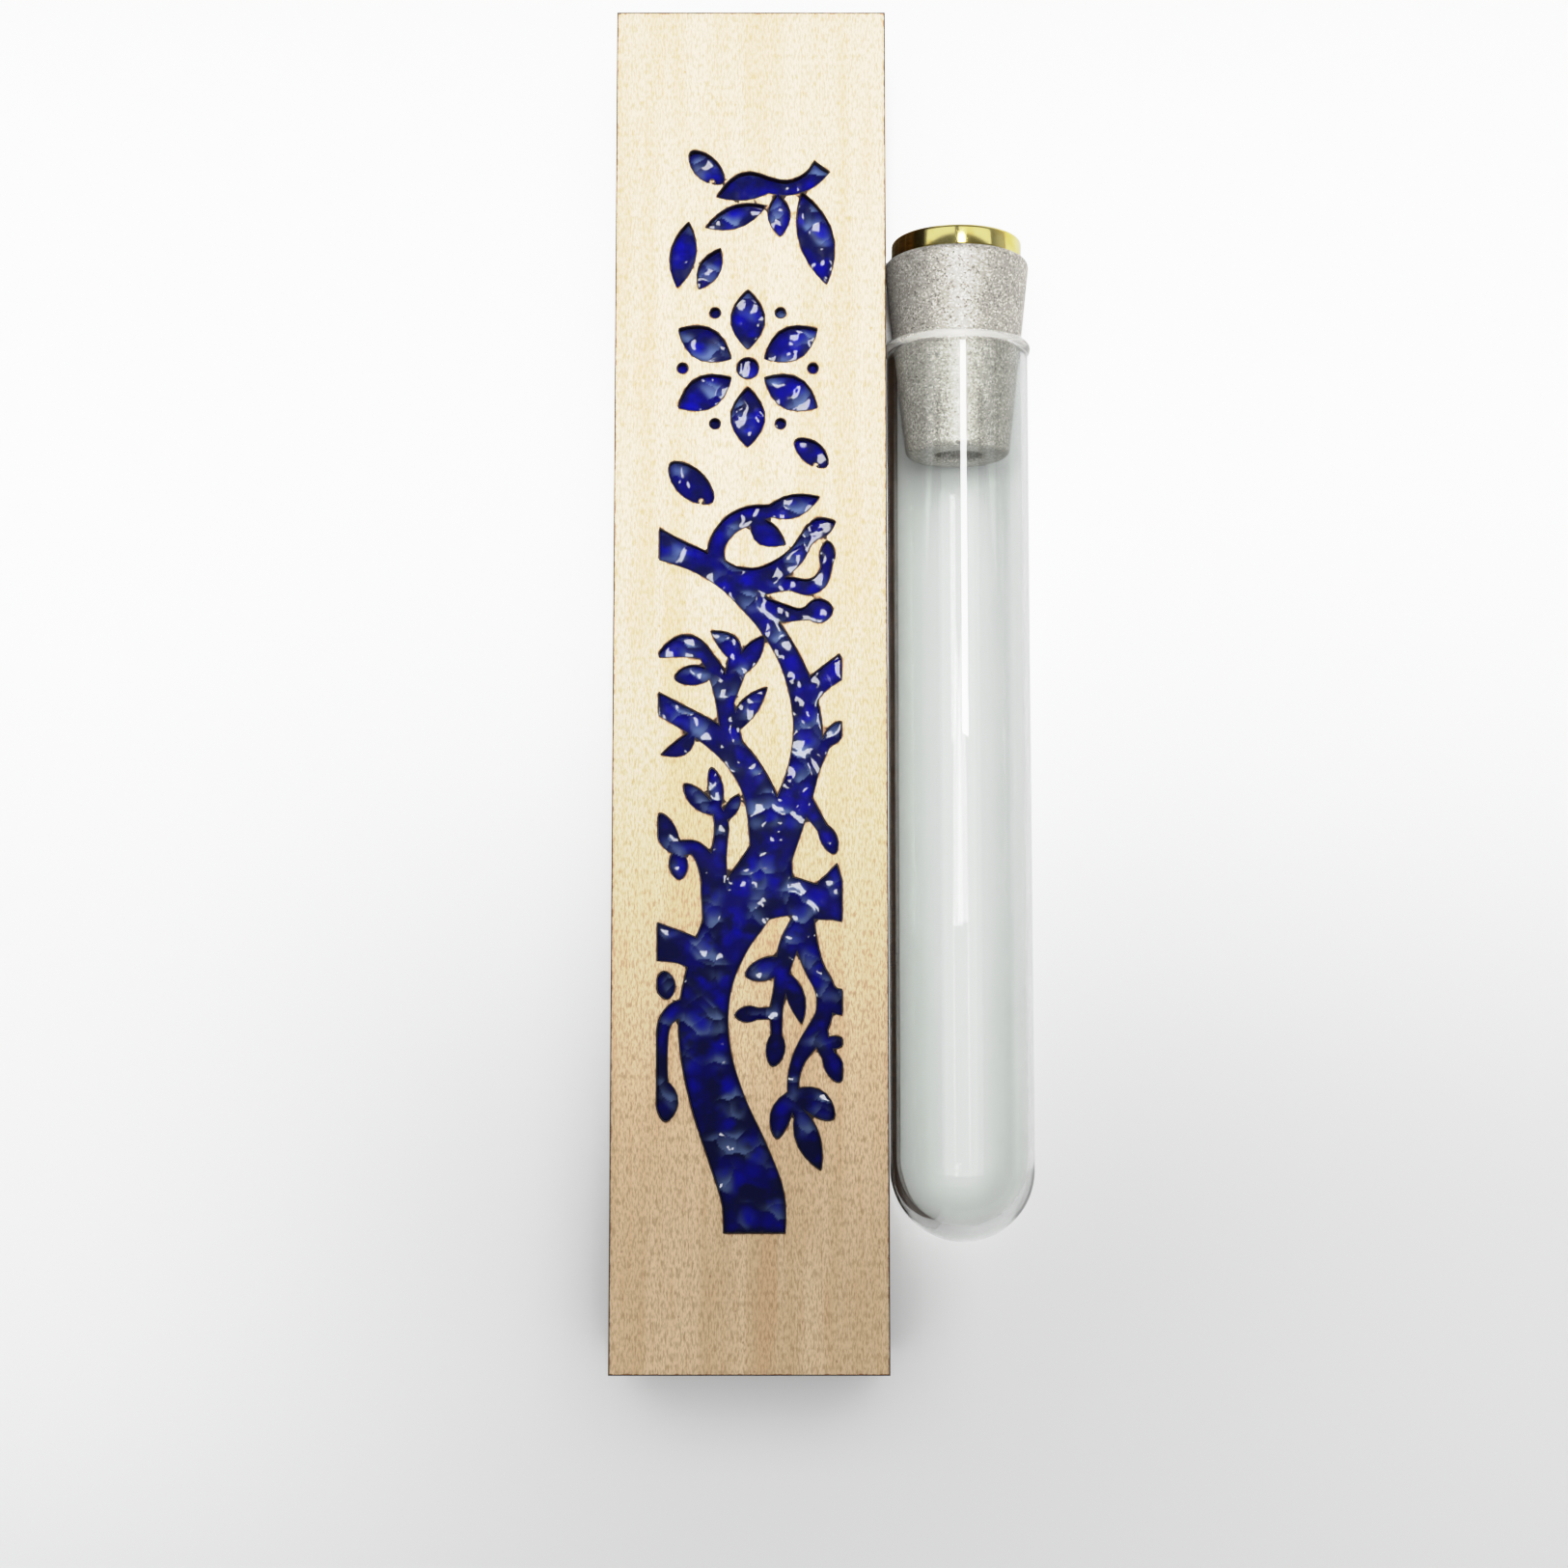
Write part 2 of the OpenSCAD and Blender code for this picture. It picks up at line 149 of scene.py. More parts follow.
@dataclass(frozen=True)
class Finish:
    """A real finish, drawn procedurally from its measured sizes."""

    name: str

    def material(self) -> bpy.types.Material:
        """Builds the material, once.

        Returns:
            The finish's only material.
        """
        made = bpy.data.materials.get(self.name)
        if made is None:
            made = bpy.data.materials.new(self.name)
            made.use_nodes = True
            tree = made.node_tree
            where = add(tree, "ShaderNodeTexCoord").outputs["Object"]
            self.paint(tree, tree.nodes["Principled BSDF"], where)
        return made

    def paint(
        self, tree: bpy.types.NodeTree, shader: bpy.types.Node, where: bpy.types.NodeSocket
    ) -> None:
        """Sets the shader up; each finish has its own.

        Args:
            tree: The material's node tree.
            shader: Its Principled BSDF node.
            where: Object coordinates, in metres.
        """
        raise NotImplementedError

    @staticmethod
    def set_shader(tree: bpy.types.NodeTree, shader: bpy.types.Node, inputs: dict) -> None:
        """Sets or links the shader's own sockets.

        Args:
            tree: The material's node tree.
            shader: Its Principled BSDF node.
            inputs: Value, hex colour or output socket to link, for inputs by name.
        """
        for name, value in inputs.items():
            if isinstance(value, bpy.types.NodeSocket):
                tree.links.new(value, shader.inputs[name])
            else:
                shader.inputs[name].default_value = (
                    linear(value) if isinstance(value, str) else value
                )


@dataclass(frozen=True)
class MapleVeneer(Finish):
    """Rock maple veneer, sliced, sanded and cut by laser."""

    pale: str = "#D9C09B"
    band: str = "#CAAC85"
    peach: str = "#C89D74"
    fleck: str = "#94734B"
    scorch: str = "#7A4A22"
    char: str = "#180D07"
    fleck_mm: tuple[float, float, float] = (0.2, 1.1, 1.0)
    pore_mm: tuple[float, float, float] = (0.17, 0.6, 1.0)
    fibre_mm: tuple[float, float, float] = (0.5, 9.0, 1.0)
    band_mm: tuple[float, float, float] = (3.0, 60.0, 20.0)
    streak_mm: tuple[float, float, float] = (3.4, 24.0, 20.0)

    def paint(
        self, tree: bpy.types.NodeTree, shader: bpy.types.Node, where: bpy.types.NodeSocket
    ) -> None:
        """Sets the shader up for this finish.

        Args:
            tree: The material's node tree.
            shader: Its Principled BSDF node.
            where: Object coordinates, in metres.
        """
        # Sanded maple is pale and close-grained: short brown flecks along the grain, faint tan
        # bands, and a peach streak here and there. Its pores are about 0.08 mm wide; they are
        # drawn twice as coarse so that they show
        at = {
            size: add(tree, PLACED, inputs={"Vector": where, "Scale": per_mm(*size)}).outputs[0]
            for size in (self.fleck_mm, self.pore_mm, self.fibre_mm, self.band_mm, self.streak_mm)
        }
        flecks, pores, fibres, bands, streaks = (
            add(tree, NOISE, inputs={"Vector": vector, "Scale": 1.0, "Detail": detail}).outputs[0]
            for vector, detail in zip(at.values(), (2.0, 1.0, 3.0, 2.0, 1.0))
        )
        wood = self.pale
        for pattern, low, high, share, colour in (
            (bands, 0.38, 0.66, 0.8, self.band),
            (streaks, 0.58, 0.76, 0.4, self.peach),
            (fibres, 0.48, 0.72, 0.35, self.peach),
            (pores, 0.42, 0.70, 0.48, self.fleck),
            (flecks, 0.50, 0.66, 0.55, self.fleck),
        ):
            mark = add(tree, *RAMP, inputs={0: pattern, 1: low, 2: high, 3: 0.0, 4: share})
            wood = add(tree, *BLEND, inputs={0: mark.outputs[0], 6: wood, 7: colour}).outputs[2]

        # The beam leaves a char line at every cut, a narrow scorch beside it and loose soot
        gap = add(tree, "ShaderNodeAttribute", {"attribute_name": "cut_gap_mm"}).outputs["Fac"]
        blot = add(tree, PLACED, inputs={"Vector": where, "Scale": per_mm(0.6, 0.9, 0.6)})
        ragged = add(tree, NOISE, inputs={"Vector": blot.outputs[0], "Scale": 1.0, "Detail": 3.0})
        jitter = add(tree, *RAMP, inputs={0: ragged.outputs[0], 1: 0.3, 2: 0.7, 3: -0.1, 4: 0.14})
        reach = add(tree, *PLUS, inputs={0: jitter.outputs[0], 1: gap}).outputs[0]
        soot_at = add(tree, PLACED, inputs={"Vector": where, "Scale": per_mm(2.4, 2.6, 2.4)})
        soot = add(tree, CELLS, inputs={"Vector": soot_at.outputs[0], "Scale": 1.0})
        for pattern, low, high, share, colour in (
            (reach, 0.1, 1.0, 0.08, self.scorch),
            (reach, 0.05, 0.24, 0.8, self.scorch),
            (gap, 0.07, 0.17, 1.0, self.char),
            (soot.outputs["Distance"], 0.03, 0.075, 0.5, self.scorch),
        ):
            mark = add(tree, *RAMP, inputs={0: pattern, 1: low, 2: high, 3: share, 4: 0.0})
            wood = add(tree, *BLEND, inputs={0: mark.outputs[0], 6: wood, 7: colour}).outputs[2]

        relief = {"Strength": 0.35, "Distance": 0.03 * MM, "Height": flecks}
        bump = add(tree, "ShaderNodeBump", inputs=relief).outputs[0]
        look = {"Base Color": wood, "Normal": bump, "Roughness": 0.62, "Specular IOR Level": 0.3}
        self.set_shader(tree, shader, look)


@dataclass(frozen=True)
class LaserCutPly(Finish):
    """Thin birch plywood, cut by laser."""

    face: str = "#D3B78C"
    face_band: str = "#C3A376"
    edge: str = "#54361F"
    edge_dark: str = "#24150C"
    veneer_mm: float = 0.66
    striation_mm: float = 0.22

    def paint(
        self, tree: bpy.types.NodeTree, shader: bpy.types.Node, where: bpy.types.NodeSocket
    ) -> None:
        """Sets the shader up for this finish.

        Args:
            tree: The material's node tree.
            shader: Its Principled BSDF node.
            where: Object coordinates, in metres.
        """
        # Pale birch faces with a soft straight grain
        grain_at = add(tree, PLACED, inputs={"Vector": where, "Scale": per_mm(0.5, 14.0, 3.0)})
        straight = {"Vector": grain_at.outputs[0], "Scale": 1.0, "Detail": 4.0}
        grain = add(tree, NOISE, inputs=straight)
        banding = add(tree, *RAMP, inputs={0: grain.outputs[0], 1: 0.35, 2: 0.65}).outputs[0]
        face = add(tree, *BLEND, inputs={0: banding, 6: self.face, 7: self.face_band}).outputs[2]

        # Charred brown cuts, with fine upright striations and the veneers' lines along them
        step = (self.striation_mm, self.striation_mm, 3.0)
        steps_at = add(tree, PLACED, inputs={"Vector": where, "Scale": per_mm(*step)})
        upright = {"Vector": steps_at.outputs[0], "Scale": 1.0, "Detail": 3.0}
        steps = add(tree, NOISE, inputs=upright)
        strips = add(tree, *RAMP, inputs={0: steps.outputs[0], 1: 0.3, 2: 0.7}).outputs[0]
        height = add(tree, "ShaderNodeSeparateXYZ", inputs={0: where}).outputs["Z"]
        fold = {"operation": "PINGPONG"}
        plies = add(tree, "ShaderNodeMath", fold, {0: height, 1: self.veneer_mm * MM}).outputs[0]
        lines = add(tree, *RAMP, inputs={0: plies, 1: 0.0, 2: self.veneer_mm * MM, 4: 0.45})
        edge = add(tree, *BLEND, inputs={0: strips, 6: self.edge_dark, 7: self.edge}).outputs[2]
        lined = {0: lines.outputs[0], 6: edge, 7: self.edge_dark}
        edge = add(tree, *BLEND, inputs=lined).outputs[2]

        normal = add(tree, "ShaderNodeNewGeometry").outputs["True Normal"]
        upward = add(tree, "ShaderNodeSeparateXYZ", inputs={0: normal}).outputs["Z"]
        flat = add(tree, "ShaderNodeMath", {"operation": "ABSOLUTE"}, {0: upward}).outputs[0]
        level = add(tree, *RAMP, inputs={0: flat, 1: 0.85, 2: 0.98}).outputs[0]
        colour = add(tree, *BLEND, inputs={0: level, 6: edge, 7: face}).outputs[2]
        relief = {"Strength": 0.4, "Distance": 0.05 * MM, "Height": steps.outputs[0]}
        bump = add(tree, "ShaderNodeBump", inputs=relief).outputs[0]
        look = {"Base Color": colour, "Normal": bump, "Roughness": 0.7, "Specular IOR Level": 0.3}
        self.set_shader(tree, shader, look)


@dataclass(frozen=True)
class BlueGlassInResin(Finish):
    """Cobalt glass grains bedded in clear epoxy, which was poured and left to set."""

    bright: str = "#06067E"
    deep: str = "#050526"
    navy: str = "#07092E"
    # Grey-blue of the painted reflection of the sky in the pools
    sky_reflection: str = "#42527A"

    def paint(
        self, tree: bpy.types.NodeTree, shader: bpy.types.Node, where: bpy.types.NodeSocket
    ) -> None:
        """Sets the shader up for this finish.

        Args:
            tree: The material's node tree.
            shader: Its Principled BSDF node.
            where: Object coordinates, in metres.
        """
        # Ultramarine through the thick of a grain and navy between grains, darkened as painted
        # shade next to the wood; grey-blue on one side of a shallow pool is a painted reflection of
        # the sky; the set resin is as glossy as the glass
        core_and_wall_shade = add(tree, "ShaderNodeAttribute", {"attribute_name": "grain_core_and_wall_shade"}).outputs["Fac"]
        pool_sky_reflection = add(tree, "ShaderNodeAttribute", {"attribute_name": "pool_sky_reflection"}).outputs["Fac"]
        clouds_at = add(tree, PLACED, inputs={"Vector": where, "Scale": per_mm(2.6, 2.6, 2.6)})
        drifting = {"Vector": clouds_at.outputs[0], "Scale": 1.0, "Detail": 3.0}
        clouds = add(tree, NOISE, inputs=drifting)
        cloudy = add(tree, *RAMP, inputs={0: clouds.outputs[0], 1: 0.42, 2: 0.62}).outputs[0]
        # Painted shade: the colour sinks towards the deep navy next to the wood walls
        core_colour_and_shade = add(tree, *BLEND, inputs={0: core_and_wall_shade, 6: self.deep, 7: self.bright}).outputs[2]
        colour = add(tree, *BLEND, inputs={0: cloudy, 6: core_colour_and_shade, 7: self.navy}).outputs[2]
        # Painted reflection: grey-blue sky mirrored on one side of each shallow pool
        colour = add(tree, *BLEND, inputs={0: pool_sky_reflection, 6: colour, 7: self.sky_reflection}).outputs[2]
        look = {"Base Color": colour, "Roughness": 0.04, "IOR": 1.55, "Specular IOR Level": 0.22}
        self.set_shader(tree, shader, look)


@dataclass(frozen=True)
class BorosilicateGlass(Finish):
    """Laboratory glass, drawn as tube, with its rim melted round in a flame."""

    # Grey partly from the glass and partly painted shadow, for the shadow the tube does not cast
    clear: str = "#E2E4E2"
    rim_sheen: str = "#DEDCD6"

    def paint(
        self, tree: bpy.types.NodeTree, shader: bpy.types.Node, where: bpy.types.NodeSocket
    ) -> None:
        """Sets the shader up for this finish.

        Args:
            tree: The material's node tree.
            shader: Its Principled BSDF node.
            where: Object coordinates, in metres; not used.
        """
        # Clear and smooth, a little grey where light crosses both walls, a grey that also stands in
        # as painted shadow for the shadow the tube does not cast; the melted rim is drawn partly
        # milky, a painted sheen in place of the bright lines its rounded bead refracts and reflects
        rim = add(tree, "ShaderNodeAttribute", {"attribute_name": "melted"}).outputs["Fac"]
        # Painted sheen: the rim is made partly milky so that it shows bright over the stopper
        colour = add(tree, *BLEND, inputs={0: rim, 6: self.clear, 7: self.rim_sheen}).outputs[2]
        through = add(tree, *RAMP, inputs={0: rim, 1: 0.0, 2: 1.0, 3: 1.0, 4: 0.7}).outputs[0]
        look = {"Base Color": colour, "Transmission Weight": through, "Roughness": 0.0, "IOR": 1.47}
        self.set_shader(tree, shader, look)


@dataclass(frozen=True)
class SparklePaint(Finish):
    """Silver sparkle paint, brushed over an agglomerated cork stopper."""

    light: str = "#CECAC2"
    mid: str = "#96928A"
    dark: str = "#5C5852"
    flake_mm: float = 0.17

    def paint(
        self, tree: bpy.types.NodeTree, shader: bpy.types.Node, where: bpy.types.NodeSocket
    ) -> None:
        """Sets the shader up for this finish.

        Args:
            tree: The material's node tree.
            shader: Its Principled BSDF node.
            where: Object coordinates, in metres.
        """
        # Aluminium flakes lie at all angles in a clear binder and glitter from light to dark grey.
        # Real flakes are about 0.1 mm; they are drawn twice as coarse so that they show
        each_way = per_mm(self.flake_mm, self.flake_mm, self.flake_mm)
        flakes_at = add(tree, PLACED, inputs={"Vector": where, "Scale": each_way})
        flakes = add(tree, CELLS, inputs={"Vector": flakes_at.outputs[0], "Scale": 1.0})
        grain = add(tree, "ShaderNodeSeparateColor", inputs={0: flakes.outputs["Color"]}).outputs[0]
        stops = ((0.0, self.dark), (0.2, self.mid), (0.6, self.mid), (1.0, self.light))
        glitter = add(tree, "ShaderNodeValToRGB", inputs={0: grain}, stops=stops).outputs[0]
        grime_at = add(tree, PLACED, inputs={"Vector": where, "Scale": per_mm(2.5, 2.5, 2.5)})
        smudged = {"Vector": grime_at.outputs[0], "Scale": 1.0, "Detail": 4.0}
        grime = add(tree, NOISE, inputs=smudged)
        dirty = add(tree, *RAMP, inputs={0: grime.outputs[0], 1: 0.45, 2: 0.75, 4: 0.3}).outputs[0]
        colour = add(tree, *BLEND, inputs={0: dirty, 6: glitter, 7: self.dark}).outputs[2]
        relief = {"Strength": 0.4, "Distance": 0.05 * MM, "Height": grain}
        bump = add(tree, "ShaderNodeBump", inputs=relief).outputs[0]
        look = {"Base Color": colour, "Normal": bump, "Metallic": 0.55, "Roughness": 0.45}
        self.set_shader(tree, shader, look)


@dataclass(frozen=True)
class PolishedGilt(Finish):
    """Brass pressing, gilt and polished."""

    gold: str = "#EADB8C"
    worn: str = "#D9BE5C"

    def paint(
        self, tree: bpy.types.NodeTree, shader: bpy.types.Node, where: bpy.types.NodeSocket
    ) -> None:
        """Sets the shader up for this finish.

        Args:
            tree: The material's node tree.
            shader: Its Principled BSDF node.
            where: Object coordinates, in metres.
        """
        # A lemon-yellow mirror with faint waves left by the press
        waves_at = add(tree, PLACED, inputs={"Vector": where, "Scale": per_mm(3.0, 3.0, 3.0)})
        pressed = {"Vector": waves_at.outputs[0], "Scale": 1.0, "Detail": 3.0}
        waves = add(tree, NOISE, inputs=pressed)
        patches = add(tree, *RAMP, inputs={0: waves.outputs[0], 1: 0.4, 2: 0.7}).outputs[0]
        colour = add(tree, *BLEND, inputs={0: patches, 6: self.gold, 7: self.worn}).outputs[2]
        relief = {"Strength": 0.08, "Distance": 0.1 * MM, "Height": waves.outputs[0]}
        bump = add(tree, "ShaderNodeBump", inputs=relief).outputs[0]
        look = {"Base Color": colour, "Normal": bump, "Metallic": 1.0, "Roughness": 0.12}
        self.set_shader(tree, shader, look)


@dataclass(frozen=True)
class Parchment(Finish):
    """Calfskin parchment, limed and scraped."""

    cream: str = "#DDCDA8"
    mottle: str = "#C8B083"

    def paint(
        self, tree: bpy.types.NodeTree, shader: bpy.types.Node, where: bpy.types.NodeSocket
    ) -> None:
        """Sets the shader up for this finish.

        Args:
            tree: The material's node tree.
            shader: Its Principled BSDF node.
            where: Object coordinates, in metres.
        """
        # Matt cream with faint mottling
        mottle_at = add(tree, PLACED, inputs={"Vector": where, "Scale": per_mm(4.0, 4.0, 4.0)})
        scraped = {"Vector": mottle_at.outputs[0], "Scale": 1.0, "Detail": 6.0}
        mottle = add(tree, NOISE, inputs=scraped)
        patches = add(tree, *RAMP, inputs={0: mottle.outputs[0], 1: 0.4, 2: 0.7}).outputs[0]
        colour = add(tree, *BLEND, inputs={0: patches, 6: self.cream, 7: self.mottle}).outputs[2]
        self.set_shader(tree, shader, {"Base Color": colour, "Roughness": 0.8})


@dataclass(frozen=True)
class MattPaper(Finish):
    """Uncoated white card under the object."""

    white: str = "#EDEDED"

    def paint(
        self, tree: bpy.types.NodeTree, shader: bpy.types.Node, where: bpy.types.NodeSocket
    ) -> None:
        """Sets the shader up for this finish.

        Args:
            tree: The material's node tree.
            shader: Its Principled BSDF node.
            where: Object coordinates, in metres; not used.
        """
        # Plain matt white
        look = {"Base Color": self.white, "Roughness": 0.9, "Specular IOR Level": 0.1}
        self.set_shader(tree, shader, look)


# ---------------------------------------------------------------- mesh helpers


def finished(
    shape: bmesh.types.BMesh,
    name: str,
    finish: Finish,
    body: Body,
    stands_for: tuple[str, ...] = (),
    crease_deg: float = 35.0,
) -> bpy.types.Object:
    """Turns a bmesh into a dressed piece that rides on a body.

    Args:
        shape: The shape, in metres in the row frame; it is freed.
        name: Name of the piece.
        finish: What it is made of.
        body: The body it moves with.
        stands_for: CAD nodes that it replaces.
        crease_deg: Edges sharper than this are shaded as creases.

    Returns:
        The piece's object.
    """
    mesh = bpy.data.meshes.new(name)
    for face in shape.faces:
        face.smooth = True
    shape.to_mesh(mesh)
    shape.free()
    mesh.set_sharp_from_angle(angle=math.radians(crease_deg))
    mesh.materials.append(finish.material())
    piece = bpy.data.objects.new(name, mesh)
    bpy.context.scene.collection.objects.link(piece)
    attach(piece, body.value)
    if stands_for:
        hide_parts(*stands_for)
    LOG.info("%s: %d faces, rides on %s", name, len(mesh.polygons), body.value)
    return piece


def merged_copy(node: str) -> bmesh.types.BMesh:
    """Copies a CAD node's mesh and merges its loose triangles.

    Args:
        node: Name of the CAD node.

    Returns:
        The merged copy.
    """
    shape = bmesh.new()
    shape.from_mesh(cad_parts[node].data)
    bmesh.ops.remove_doubles(shape, verts=shape.verts, dist=MERGE)
    return shape


def dress(node: str, finish: Finish, bevel_mm: float = 0.0) -> None:
    """Gives a CAD node its material and, where asked, softly rounded edges.

    Args:
        node: Name of the CAD node.
        finish: What it is made of.
        bevel_mm: Width of the rounding; 0 leaves the edges as they are.
    """
    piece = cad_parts[node]
    piece.data.materials.clear()
    piece.data.materials.append(finish.material())
    if bevel_mm:
        weld = piece.modifiers.new("weld", "WELD")
        weld.merge_threshold = MERGE
        bevel = piece.modifiers.new("softened_edges", "BEVEL")
        bevel.width = bevel_mm * MM
        bevel.segments = 2
        bevel.limit_method = "ANGLE"
    LOG.info("%s: dressed as %s", node, finish.name)


def arc(
    centre: tuple[float, float], radius: float, start_deg: float, end_deg: float, steps: int
) -> list[tuple[float, float]]:
    """Points along an arc in a turning profile.

    Args:
        centre: Centre, as (distance from the axis, distance along it).
        radius: Radius of the arc.
        start_deg: Angle of the first point, from the outward direction.
        end_deg: Angle of the last point.
        steps: Number of steps.

    Returns:
        The points, first and last included.
    """
    angles = [math.radians(start_deg + (end_deg - start_deg) * i / steps) for i in range(steps + 1)]
    return [(centre[0] + radius * math.cos(a), centre[1] + radius * math.sin(a)) for a in angles]


@dataclass(frozen=True)
class Axis:
    """The tube's axis, parallel to Y."""

    x: float
    z: float

    def turned(
        self, profile: list[tuple[float, float]], segments: int, longest: float | None = None
    ) -> bmesh.types.BMesh:
        """Spins a profile about this axis.

        Args:
            profile: Points (distance from the axis, Y), from one pole to the other.
            segments: Steps round the axis.
            longest: Profile edges longer than this are subdivided.

        Returns:
            The closed shape.
        """
        shape = bmesh.new()
        verts = [shape.verts.new((self.x + r, y, self.z)) for r, y in profile]
        edges = [shape.edges.new(pair) for pair in zip(verts, verts[1:])]
        if longest:
            for edge in edges:
                cuts = math.ceil(edge.calc_length() / longest) - 1
                if cuts > 0:
                    bmesh.ops.subdivide_edges(shape, edges=[edge], cuts=cuts)
        bmesh.ops.spin(
            shape,
            geom=shape.verts[:] + shape.edges[:],
            cent=(self.x, 0.0, self.z),
            axis=(0.0, 1.0, 0.0),
            angle=math.tau,
            steps=segments,
            use_merge=True,
        )
        bmesh.ops.remove_doubles(shape, verts=shape.verts, dist=2 * MERGE)
        bmesh.ops.recalc_face_normals(shape, faces=shape.faces)
        return shape

    def outward(self, point: Vector) -> Vector:
        """Unit vector from the axis to a point, across the axis."""
        across = Vector((point.x - self.x, 0.0, point.z - self.z))
        return across.normalized() if across.length > 0 else Vector((0.0, 0.0, 1.0))


# ---------------------------------------------------------------- the case


@dataclass
class CarvedFront:
    """Front panel with its cut-outs, and the glass inlay in them."""

    grain: MapleVeneer = MapleVeneer("maple_veneer_sanded_laser_cut")
    glass: BlueGlassInResin = BlueGlassInResin("cobalt_glass_in_clear_epoxy")
    panel_grid_mm: float = 0.5
    inlay_grid_mm: float = 0.16
    under_wood_mm: float = 0.3
    grain_mm: float = 2.2
    resin_mm: float = -0.03
    wrinkle_mm: float = 0.034
    sunk_mm: float = 0.15
    grain_join: float = 18.0
    pool_join: float = 34.0
    seed: float = 3.7
    warp_seed: int = 7

    def build(self) -> None:
        """Makes the panel and the inlay."""
        shape = merged_copy("front_panel")
        walls = self.walls_of(shape)
        self.panel(shape, walls)
        self.inlay(walls)

    def walls_of(self, shape: bmesh.types.BMesh) -> BVHTree:
        """Search tree over the upright faces: the cut-outs' walls and the outer edges.

        Args:
            shape: The panel's shape.

        Returns:
            A tree of the cut-outs' walls, to find the nearest one.
        """
        upright = shape.copy()
        level = [f for f in upright.faces if abs(f.normal.z) > 0.5]
        bmesh.ops.delete(upright, geom=level, context="FACES")
        tree = BVHTree.FromBMesh(upright)
        upright.free()
        return tree

    def panel(self, shape: bmesh.types.BMesh, walls: BVHTree) -> None:
        """Cuts the panel's face into a fine grid and notes each point's distance from a cut.

        Args:
            shape: Merged copy of the panel; it is freed.
            walls: Search tree over the cut walls.
        """
        low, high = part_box("front_panel")
        step = self.panel_grid_mm * MM
        for index, normal in ((0, (1, 0, 0)), (1, (0, 1, 0))):
            count = round((high[index] - low[index]) / step)
            for i in range(1, count):
                point = Vector()
                point[index] = low[index] + i * step
                face_top = [f for f in shape.faces if f.normal.z > 0.5]
                edges = {e for f in face_top for e in f.edges}
                verts = {v for f in face_top for v in f.verts}
                bmesh.ops.bisect_plane(
                    shape,
                    geom=[*verts, *edges, *face_top],
                    plane_co=point,
                    plane_no=normal,
                    dist=2 * MERGE,
                )
        bmesh.ops.triangulate(shape, faces=shape.faces)
        gap = shape.verts.layers.float.new("cut_gap_mm")
        for vert in shape.verts:
            vert[gap] = walls.find_nearest(vert.co)[3] / MM
        finished(
            shape, "front_panel_veneer", self.grain, Body.CASE, ("front_panel",), 20.0
        )

    def inlay(self, walls: BVHTree) -> None:
        """Makes the inlay: one closed solid with a rippled surface in every cut-out.

        Args:
            walls: Search tree over the cut walls.
        """
        low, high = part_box("blue_inlay")
        source = merged_copy("blue_inlay")
        plain = BVHTree.FromBMesh(source)
        source.free()
        step = self.inlay_grid_mm * MM
        margin = self.under_wood_mm * MM
        half = (high - low) / 2
        nx, ny = (math.ceil((half[i] + margin) * 2 / step) for i in (0, 1))
        shape = bmesh.new()
        bmesh.ops.create_grid(shape, x_segments=nx, y_segments=ny, size=0.5)
        middle = (low + high) / 2
        place = Matrix.Translation((middle.x, middle.y, high.z)) @ Matrix.Diagonal(
            (nx * step, ny * step, 1.0, 1.0)
        )
        bmesh.ops.transform(shape, matrix=place, verts=shape.verts)

        core_and_wall_shade = shape.verts.layers.float.new("grain_core_and_wall_shade")
        pool_sky_reflection = shape.verts.layers.float.new("pool_sky_reflection")
        hidden = []
        down = Vector((0.0, 0.0, -1.0))
        # Unseeded, noise_vector takes its pattern from the clock
        noise.seed_set(self.warp_seed)
        for vert in shape.verts:
            away = walls.find_nearest(vert.co)[3]
            inside = plain.ray_cast(vert.co + Vector((0.0, 0.0, MM)), down)[0] is not None
            if not inside and away > margin:
                hidden.append(vert)
                continue
            up, vert[core_and_wall_shade], vert[pool_sky_reflection] = self.surface(vert.co / MM, away / MM if inside else 0.0)
            vert.co.z += up * MM
        bmesh.ops.delete(shape, geom=hidden, context="VERTS")
        bmesh.ops.smooth_vert(shape, verts=shape.verts, factor=0.5, use_axis_z=True)
        base = bmesh.ops.extrude_face_region(shape, geom=shape.faces[:])
        lowered = [v for v in base["geom"] if isinstance(v, bmesh.types.BMVert)]
        for vert in lowered:
            vert.co.z = low.z
        bmesh.ops.recalc_face_normals(shape, faces=shape.faces)
        finished(
            shape,
            "glass_and_resin_inlay",
            self.glass,
            Body.CASE,
            ("blue_inlay",),
            60.0,
        )

    def surface(self, at_mm: Vector, wall_mm: float) -> tuple[float, float, float]:
        """Height and tint of the inlay at a point.

        Round grains stand up in places; elsewhere the resin lies between them in shallow pools
        that meet in ridges.

        Args:
            at_mm: The point, in millimetres.
            wall_mm: Its distance from the nearest wall; 0 under the wood.

        Returns:
            Rise above the plain inlay in millimetres; how far up a grain the point is from 0 to 1,
            lowered as painted shade next to the wood; and how much painted reflection of the sky in
            a pool it shows, from 0 to 1.
        """
        flat = Vector((at_mm.x, at_mm.y, self.seed))
        at = (flat + 0.4 * noise.noise_vector(flat / 1.6)) / self.grain_mm
        at.z = self.seed
        gaps, centres = noise.voronoi(at)
